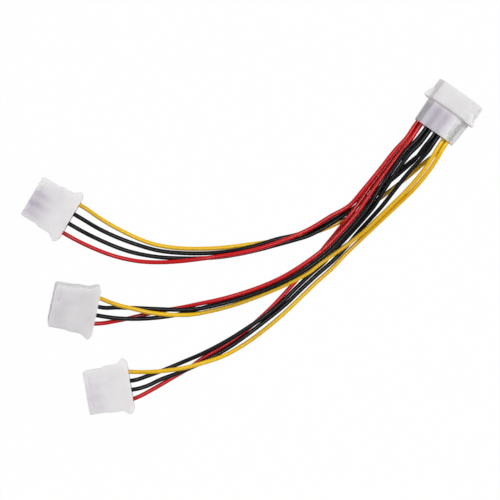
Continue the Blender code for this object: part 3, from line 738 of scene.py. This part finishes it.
# Wires: each keeps its own points from the input housing to its output housing, in metres
wireRoutes = {
    "a_red": [
        (0.0729, 0.0515, 0.0070), (0.0675, 0.0456, 0.0065), (0.0601, 0.0362, 0.0057),
        (0.0523, 0.0267, 0.0050), (0.0461, 0.0196, 0.0042), (0.0368, 0.0142, 0.0041),
        (0.0276, 0.0086, 0.0049), (0.0204, 0.0052, 0.0052), (0.0132, 0.0024, 0.0051),
        (0.0038, -0.0007, 0.0047), (-0.0057, -0.0030, 0.0041), (-0.0151, -0.0045, 0.0033),
        (-0.0245, -0.0058, 0.0032), (-0.0340, -0.0069, 0.0026), (-0.0434, -0.0074, 0.0018),
        (-0.0527, -0.0070, 0.0012), (-0.0653, -0.0044, 0.0014), (-0.0764, -0.0001, 0.0030)],
    "a_black_1": [
        (0.0781, 0.0489, 0.0061), (0.0712, 0.0425, 0.0040), (0.0632, 0.0357, 0.0019),
        (0.0557, 0.0288, 0.0011), (0.0483, 0.0212, 0.0011), (0.0415, 0.0156, 0.0011),
        (0.0344, 0.0112, 0.0016), (0.0264, 0.0074, 0.0027), (0.0189, 0.0051, 0.0030),
        (0.0123, 0.0037, 0.0032), (0.0038, 0.0011, 0.0030), (-0.0057, -0.0014, 0.0026),
        (-0.0151, -0.0027, 0.0015), (-0.0245, -0.0032, 0.0011), (-0.0340, -0.0030, 0.0011),
        (-0.0434, -0.0020, 0.0011), (-0.0569, 0.0018, 0.0012), (-0.0717, 0.0081, 0.0026)],
    "a_black_2": [
        (0.0819, 0.0458, 0.0067), (0.0750, 0.0402, 0.0046), (0.0670, 0.0333, 0.0023),
        (0.0585, 0.0264, 0.0011), (0.0498, 0.0195, 0.0011), (0.0417, 0.0137, 0.0026),
        (0.0344, 0.0091, 0.0032), (0.0264, 0.0051, 0.0032), (0.0189, 0.0028, 0.0030),
        (0.0123, 0.0010, 0.0027), (0.0038, -0.0013, 0.0015), (-0.0057, -0.0034, 0.0011),
        (-0.0151, -0.0049, 0.0011), (-0.0245, -0.0055, 0.0011), (-0.0340, -0.0055, 0.0011),
        (-0.0434, -0.0050, 0.0011), (-0.0576, -0.0024, 0.0012), (-0.0731, 0.0037, 0.0026)],
    "a_yellow": [
        (0.0859, 0.0433, 0.0085), (0.0811, 0.0395, 0.0065), (0.0748, 0.0340, 0.0040),
        (0.0674, 0.0281, 0.0020), (0.0594, 0.0221, 0.0011), (0.0519, 0.0172, 0.0011),
        (0.0439, 0.0128, 0.0011), (0.0344, 0.0084, 0.0011), (0.0264, 0.0057, 0.0011),
        (0.0179, 0.0038, 0.0011), (0.0085, 0.0024, 0.0011), (-0.0010, 0.0011, 0.0011),
        (-0.0151, -0.0006, 0.0011), (-0.0245, -0.0010, 0.0011), (-0.0340, -0.0008, 0.0011),
        (-0.0462, 0.0011, 0.0011), (-0.0611, 0.0072, 0.0014), (-0.0717, 0.0133, 0.0028)],
    "b_red": [
        (0.0749, 0.0506, 0.0076), (0.0707, 0.0453, 0.0070), (0.0637, 0.0360, 0.0062),
        (0.0571, 0.0267, 0.0056), (0.0523, 0.0196, 0.0053), (0.0469, 0.0126, 0.0051),
        (0.0404, 0.0054, 0.0051), (0.0334, -0.0015, 0.0051), (0.0264, -0.0068, 0.0051),
        (0.0206, -0.0107, 0.0049), (0.0150, -0.0140, 0.0044), (0.0059, -0.0182, 0.0034),
        (-0.0061, -0.0224, 0.0029), (-0.0151, -0.0249, 0.0029), (-0.0245, -0.0269, 0.0023),
        (-0.0330, -0.0287, 0.0012), (-0.0434, -0.0305, 0.0011), (-0.0541, -0.0329, 0.0011),
        (-0.0631, -0.0349, 0.0019)],
    "b_black_1": [
        (0.0771, 0.0499, 0.0085), (0.0726, 0.0453, 0.0085), (0.0664, 0.0365, 0.0076),
        (0.0598, 0.0269, 0.0069), (0.0554, 0.0195, 0.0066), (0.0498, 0.0121, 0.0061),
        (0.0434, 0.0049, 0.0055), (0.0371, -0.0018, 0.0052), (0.0301, -0.0074, 0.0051),
        (0.0245, -0.0113, 0.0050), (0.0160, -0.0162, 0.0045), (0.0059, -0.0206, 0.0035),
        (-0.0061, -0.0247, 0.0030), (-0.0151, -0.0272, 0.0031), (-0.0245, -0.0292, 0.0031),
        (-0.0321, -0.0298, 0.0032), (-0.0434, -0.0295, 0.0034), (-0.0541, -0.0290, 0.0039),
        (-0.0632, -0.0287, 0.0048)],
    "b_black_2": [
        (0.0812, 0.0471, 0.0089), (0.0776, 0.0421, 0.0075), (0.0698, 0.0349, 0.0053),
        (0.0606, 0.0269, 0.0045), (0.0547, 0.0199, 0.0038), (0.0488, 0.0128, 0.0033),
        (0.0424, 0.0057, 0.0032), (0.0356, -0.0015, 0.0032), (0.0283, -0.0072, 0.0032),
        (0.0225, -0.0112, 0.0031), (0.0156, -0.0152, 0.0025), (0.0059, -0.0196, 0.0015),
        (-0.0061, -0.0238, 0.0011), (-0.0151, -0.0265, 0.0011), (-0.0245, -0.0293, 0.0011),
        (-0.0340, -0.0319, 0.0011), (-0.0434, -0.0334, 0.0019), (-0.0541, -0.0341, 0.0033),
        (-0.0631, -0.0338, 0.0043)],
    "b_yellow": [
        (0.0860, 0.0443, 0.0107), (0.0807, 0.0360, 0.0092), (0.0729, 0.0267, 0.0077),
        (0.0658, 0.0196, 0.0064), (0.0597, 0.0137, 0.0053), (0.0535, 0.0078, 0.0044),
        (0.0467, 0.0023, 0.0036), (0.0396, -0.0028, 0.0033), (0.0324, -0.0078, 0.0033),
        (0.0270, -0.0120, 0.0033), (0.0179, -0.0170, 0.0029), (0.0059, -0.0223, 0.0016),
        (-0.0061, -0.0268, 0.0011), (-0.0197, -0.0305, 0.0011), (-0.0288, -0.0321, 0.0026),
        (-0.0377, -0.0322, 0.0040), (-0.0480, -0.0311, 0.0054), (-0.0571, -0.0290, 0.0062),
        (-0.0637, -0.0273, 0.0071)],
    "c_red": [
        (0.0742, 0.0512, 0.0050), (0.0691, 0.0457, 0.0046), (0.0620, 0.0364, 0.0039),
        (0.0547, 0.0267, 0.0035), (0.0499, 0.0198, 0.0035), (0.0448, 0.0130, 0.0034),
        (0.0391, 0.0057, 0.0020), (0.0328, -0.0020, 0.0011), (0.0264, -0.0095, 0.0011),
        (0.0210, -0.0159, 0.0011), (0.0150, -0.0226, 0.0011), (0.0085, -0.0294, 0.0011),
        (0.0009, -0.0364, 0.0011), (-0.0057, -0.0419, 0.0011), (-0.0137, -0.0472, 0.0011),
        (-0.0227, -0.0524, 0.0011), (-0.0307, -0.0580, 0.0011), (-0.0361, -0.0611, 0.0011),
        (-0.0415, -0.0643, 0.0019), (-0.0486, -0.0683, 0.0035)],
    "c_black_1": [
        (0.0792, 0.0488, 0.0089), (0.0737, 0.0432, 0.0089), (0.0682, 0.0355, 0.0080),
        (0.0623, 0.0269, 0.0068), (0.0578, 0.0195, 0.0056), (0.0523, 0.0128, 0.0043),
        (0.0464, 0.0062, 0.0026), (0.0398, -0.0009, 0.0011), (0.0340, -0.0075, 0.0011),
        (0.0283, -0.0125, 0.0011), (0.0207, -0.0197, 0.0011), (0.0132, -0.0271, 0.0022),
        (0.0059, -0.0330, 0.0032), (-0.0010, -0.0376, 0.0032), (-0.0107, -0.0438, 0.0029),
        (-0.0227, -0.0502, 0.0023), (-0.0330, -0.0547, 0.0013), (-0.0420, -0.0584, 0.0020),
        (-0.0495, -0.0611, 0.0035)],
    "c_black_2": [
        (0.0834, 0.0458, 0.0099), (0.0795, 0.0412, 0.0090), (0.0742, 0.0354, 0.0078),
        (0.0673, 0.0269, 0.0064), (0.0617, 0.0196, 0.0052), (0.0561, 0.0133, 0.0038),
        (0.0509, 0.0076, 0.0024), (0.0439, -0.0008, 0.0011), (0.0382, -0.0068, 0.0011),
        (0.0316, -0.0125, 0.0011), (0.0236, -0.0199, 0.0011), (0.0160, -0.0272, 0.0011),
        (0.0059, -0.0354, 0.0013), (-0.0028, -0.0420, 0.0022), (-0.0107, -0.0475, 0.0023),
        (-0.0198, -0.0527, 0.0028), (-0.0283, -0.0569, 0.0032), (-0.0363, -0.0602, 0.0033),
        (-0.0429, -0.0626, 0.0035), (-0.0493, -0.0656, 0.0040)],
    "c_yellow": [
        (0.0880, 0.0433, 0.0113), (0.0834, 0.0360, 0.0095), (0.0758, 0.0267, 0.0073),
        (0.0685, 0.0196, 0.0050), (0.0623, 0.0137, 0.0033), (0.0568, 0.0085, 0.0020),
        (0.0507, 0.0027, 0.0011), (0.0447, -0.0031, 0.0011), (0.0373, -0.0108, 0.0011),
        (0.0300, -0.0173, 0.0011), (0.0240, -0.0231, 0.0011), (0.0137, -0.0328, 0.0011),
        (0.0059, -0.0393, 0.0011), (-0.0033, -0.0460, 0.0013), (-0.0137, -0.0517, 0.0033),
        (-0.0227, -0.0547, 0.0051), (-0.0321, -0.0572, 0.0053), (-0.0410, -0.0585, 0.0052),
        (-0.0495, -0.0591, 0.0049)],
}

wireLead = {
    "inputEnd": 0.005, "outputEnd": 0.0065,
    "slots": {"left": (-0.00108, 0.00062), "right": (0.00108, 0.00062), "low": (0.0, -0.00125)},
    "slotOf": {
        "a_red": "left", "a_black_1": "low", "a_black_2": "low", "a_yellow": "low",
        "b_red": "right", "b_black_1": "left", "b_black_2": "left", "b_yellow": "left",
        "c_red": "low", "c_black_1": "right", "c_black_2": "right", "c_yellow": "right",
    },
    "lean": {"red": 0.0011, "black_2": 0.0004, "black_1": -0.0004, "yellow": -0.0011},
    "leanOutside": {"red": 1.6, "black_2": 1.0, "black_1": 1.0, "yellow": 1.6},
    "branchLean": {"a": 0.0, "b": 1.0, "c": 1.0},
    "leanInside": 0.4,  # share of the lean that is left at "straight" inside the housing
    "straight": 0.003,  # how far it runs straight in front of a housing's wire face
    "step": 0.001, "sides": 20, "aboveTable": 0.00002,
}


def wireRoute(name):
    branch, colour = name.split("_", 1)
    slotX, slotZ = wireLead["slots"][wireLead["slotOf"][name]]
    startX = inputWays[colour] * family["pitch"] + slotX
    start = [frames["input_housing"] @ Vector((startX, y, slotZ))
             for y in (wireLead["inputEnd"], wireLead["inputEnd"] / 2, 0.0, -wireLead["straight"])]
    endX = outputWays[colour] * family["pitch"]
    lean = wireLead["lean"][colour] * wireLead["branchLean"][branch]
    leans = ((-wireLead["straight"], wireLead["leanOutside"][colour]), (0.0, 1.0),
             (wireLead["straight"], wireLead["leanInside"]), (wireLead["outputEnd"], 0.0))
    end = [frames["output_housing_" + branch] @ Vector((endX + lean * part, y, 0.0)) for y, part in leans]
    return start + [Vector(point) for point in wireRoutes[name]] + end


def smoothPoints(points, step):  # one smooth curve through the points, its tangents weighted by distance
    points = np.asarray(points, float)
    knots = np.concatenate([[0.0], np.cumsum(np.linalg.norm(np.diff(points, axis=0), axis=1))])
    gaps = np.diff(knots)[:, None]
    slopes = np.diff(points, axis=0) / gaps
    tangents = np.vstack([slopes[:1], slopes[:1].repeat(len(points) - 2, axis=0), slopes[-1:]])
    tangents[1:-1] = (slopes[:-1] * gaps[1:] + slopes[1:] * gaps[:-1]) / (gaps[:-1] + gaps[1:])
    where = np.linspace(0.0, knots[-1], int(round(knots[-1] / step)) + 1)
    index = np.clip(np.searchsorted(knots, where, side="right") - 1, 0, len(points) - 2)
    span = gaps[index]
    u = (where - knots[index])[:, None] / span
    start = (2 * u**3 - 3 * u**2 + 1) * points[index] + (u**3 - 2 * u**2 + u) * span * tangents[index]
    end = (3 * u**2 - 2 * u**3) * points[index + 1] + (u**3 - u**2) * span * tangents[index + 1]
    smooth = start + end
    lowest = family["wireRadius"] + wireLead["aboveTable"]
    smooth[:, 2] = np.maximum(smooth[:, 2], lowest)  # the table carries it
    return smooth


def wireTubeTree():
    tree = bpy.data.node_groups.new("wireTube", "GeometryNodeTree")
    nodeInput(tree, "Geometry", "NodeSocketGeometry")
    nodeInput(tree, "Wire Radius", "NodeSocketFloat", 0.001)
    nodeInput(tree, "Sides", "NodeSocketInt", 16)
    nodeInput(tree, "Finish", "NodeSocketMaterial")
    tree.interface.new_socket("Geometry", in_out="OUTPUT", socket_type="NodeSocketGeometry")
    link = tree.links.new
    given = addNode(tree, "NodeGroupInput")
    along = addNode(tree, "GeometryNodeSplineParameter")
    keepAlong = addNode(tree, "GeometryNodeStoreNamedAttribute", data_type="FLOAT", domain="POINT")
    keepAlong.inputs["Name"].default_value = "wireLength"
    circle = addNode(tree, "GeometryNodeCurvePrimitiveCircle")
    ring = addNode(tree, "GeometryNodeInputPosition")
    keepRing = addNode(tree, "GeometryNodeStoreNamedAttribute", data_type="FLOAT_VECTOR", domain="POINT")
    keepRing.inputs["Name"].default_value = "wireRing"
    sweep = addNode(tree, "GeometryNodeCurveToMesh")
    sweep.inputs["Fill Caps"].default_value = True
    smooth = addNode(tree, "GeometryNodeSetShadeSmooth")
    real = addNode(tree, "GeometryNodeRealizeInstances")
    finish = addNode(tree, "GeometryNodeSetMaterial")
    result = addNode(tree, "NodeGroupOutput")
    link(given.outputs["Geometry"], keepAlong.inputs["Geometry"])
    link(along.outputs["Length"], keepAlong.inputs["Value"])
    link(given.outputs["Sides"], circle.inputs["Resolution"])
    link(given.outputs["Wire Radius"], circle.inputs["Radius"])
    link(circle.outputs["Curve"], keepRing.inputs["Geometry"])
    link(ring.outputs["Position"], keepRing.inputs["Value"])
    link(keepAlong.outputs["Geometry"], sweep.inputs["Curve"])
    link(keepRing.outputs["Geometry"], sweep.inputs["Profile Curve"])
    link(sweep.outputs["Mesh"], smooth.inputs["Geometry"])
    link(smooth.outputs["Geometry"], real.inputs["Geometry"])
    link(real.outputs["Geometry"], finish.inputs["Geometry"])
    link(given.outputs["Finish"], finish.inputs["Material"])
    link(finish.outputs["Geometry"], result.inputs["Geometry"])
    return tree


wireTube = wireTubeTree()


def wirePiece(name):
    colour = name.split("_")[1]
    path = smoothPoints(wireRoute(name), wireLead["step"])
    curve = bpy.data.curves.new(name, "CURVE")
    curve.dimensions = "3D"
    spline = curve.splines.new("POLY")
    spline.points.add(len(path) - 1)
    for point, place in zip(spline.points, path):
        point.co = (*place, 1.0)
    guide = linkObject(name + "Path", curve)
    step = guide.modifiers.new("wireTube", "NODES")
    step.node_group = wireTube
    setInputs(step, {"Wire Radius": family["wireRadius"], "Sides": wireLead["sides"], "Finish": pvc[colour]})
    mesh = evaluatedMesh(guide)
    discard(guide)
    clean(mesh)
    mesh.set_sharp_from_angle(angle=math.radians(60.0))
    wire = linkObject(name + "_insulated", mesh)
    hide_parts(name)
    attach(wire, "root")
    return wire


for name in wireRoutes:
    wirePiece(name)
print("wires laid")


# Table, camera straight above, and soft studio light
studio = {
    "pixelsPerMetre": 2120.0, "pictureWidth": 500.0, "cameraHeight": 1.2, "focusHeight": 0.0044,
    "centre": (-0.00095, -0.00158), "sensor": 36.0, "floorSize": 4.0, "floorWhite": 0.5, "floorDrop": 0.0001,
    "key": {"place": (1.03, 0.28, 1.0), "size": 0.13, "power": 11.1},
    "fill": {"place": (-0.9, 1.05, 0.7), "size": 0.9, "power": 8.2},
    "top": {"place": (0.3, -0.35, 0.9), "size": 0.7, "power": 1.7},
    "glint": {"place": (0.08, 0.1, 1.15), "size": 0.2, "power": 14.0},
    "world": 0.32, "tableGlow": 0.99,
}


def backgroundRays(tree):  # 1 where the eye sees the background, straight on or in a gloss
    rays = addNode(tree, "ShaderNodeLightPath")
    gloss = addNode(tree, "ShaderNodeMath", operation="MAXIMUM")
    every = addNode(tree, "ShaderNodeMath", operation="MAXIMUM")
    tree.links.new(rays.outputs["Is Glossy Ray"], gloss.inputs[0])
    tree.links.new(rays.outputs["Is Transmission Ray"], gloss.inputs[1])
    tree.links.new(rays.outputs["Is Camera Ray"], every.inputs[0])
    tree.links.new(gloss.outputs[0], every.inputs[1])
    return every.outputs[0]


def makeTable():
    bpy.ops.mesh.primitive_plane_add(size=studio["floorSize"])
    table = bpy.context.object
    table.name = "table"
    table.location.z = -studio["floorDrop"]
    material = bpy.data.materials.new("paleTable")
    material.use_nodes = True
    tree = material.node_tree
    shader = tree.nodes["Principled BSDF"]
    white = studio["floorWhite"]
    shader.inputs["Base Color"].default_value = (white, white, white, 1.0)
    shader.inputs["Roughness"].default_value = 0.9
    shader.inputs["Specular IOR Level"].default_value = 0.0
    glow = addNode(tree, "ShaderNodeEmission")
    share = addNode(tree, "ShaderNodeMath", operation="MULTIPLY")
    share.inputs[1].default_value = studio["tableGlow"]
    mix = addNode(tree, "ShaderNodeMixShader")
    link = tree.links.new
    link(backgroundRays(tree), share.inputs[0])
    link(share.outputs[0], mix.inputs[0])
    link(shader.outputs[0], mix.inputs[1])
    link(glow.outputs[0], mix.inputs[2])
    link(mix.outputs[0], tree.nodes["Material Output"].inputs["Surface"])
    table.data.materials.append(material)
    return table


def addLamp(name, spec):
    data = bpy.data.lights.new(name, "AREA")
    data.size = spec["size"]
    data.energy = spec["power"]
    lamp = linkObject(name, data)
    lamp.location = spec["place"]
    lamp.rotation_euler = (-Vector(spec["place"])).to_track_quat("-Z", "Y").to_euler()
    lamp.visible_camera = False
    return lamp


def lightStudio():
    for name in ("key", "fill", "top"):
        addLamp(name + "Lamp", studio[name])
    glint = addLamp("glintLamp", studio["glint"])  # only draws the shine along the wires
    glint.visible_diffuse = False
    world = bpy.data.worlds.new("paleRoom")
    world.use_nodes = True
    tree = world.node_tree
    room = tree.nodes["Background"]
    room.inputs["Color"].default_value = (1.0, 1.0, 1.0, 1.0)
    room.inputs["Strength"].default_value = studio["world"]
    white = addNode(tree, "ShaderNodeBackground")
    white.inputs["Color"].default_value = (1.0, 1.0, 1.0, 1.0)
    white.inputs["Strength"].default_value = 1.0
    seen = backgroundRays(tree)
    mix = addNode(tree, "ShaderNodeMixShader")
    link = tree.links.new
    link(seen, mix.inputs[0])
    link(room.outputs[0], mix.inputs[1])
    link(white.outputs[0], mix.inputs[2])
    link(mix.outputs[0], tree.nodes["World Output"].inputs["Surface"])
    bpy.context.scene.world = world


def addCamera():
    data = bpy.data.cameras.new("cameraAbove")
    data.sensor_width = studio["sensor"]
    view = studio["pictureWidth"] / studio["pixelsPerMetre"]
    data.lens = studio["sensor"] * (studio["cameraHeight"] - studio["focusHeight"]) / view
    camera = linkObject("cameraAbove", data)
    camera.location = (*studio["centre"], studio["cameraHeight"])
    bpy.context.scene.camera = camera


makeTable()
lightStudio()
addCamera()
bpy.context.scene.view_settings.view_transform = "Standard"
print("studio lit")
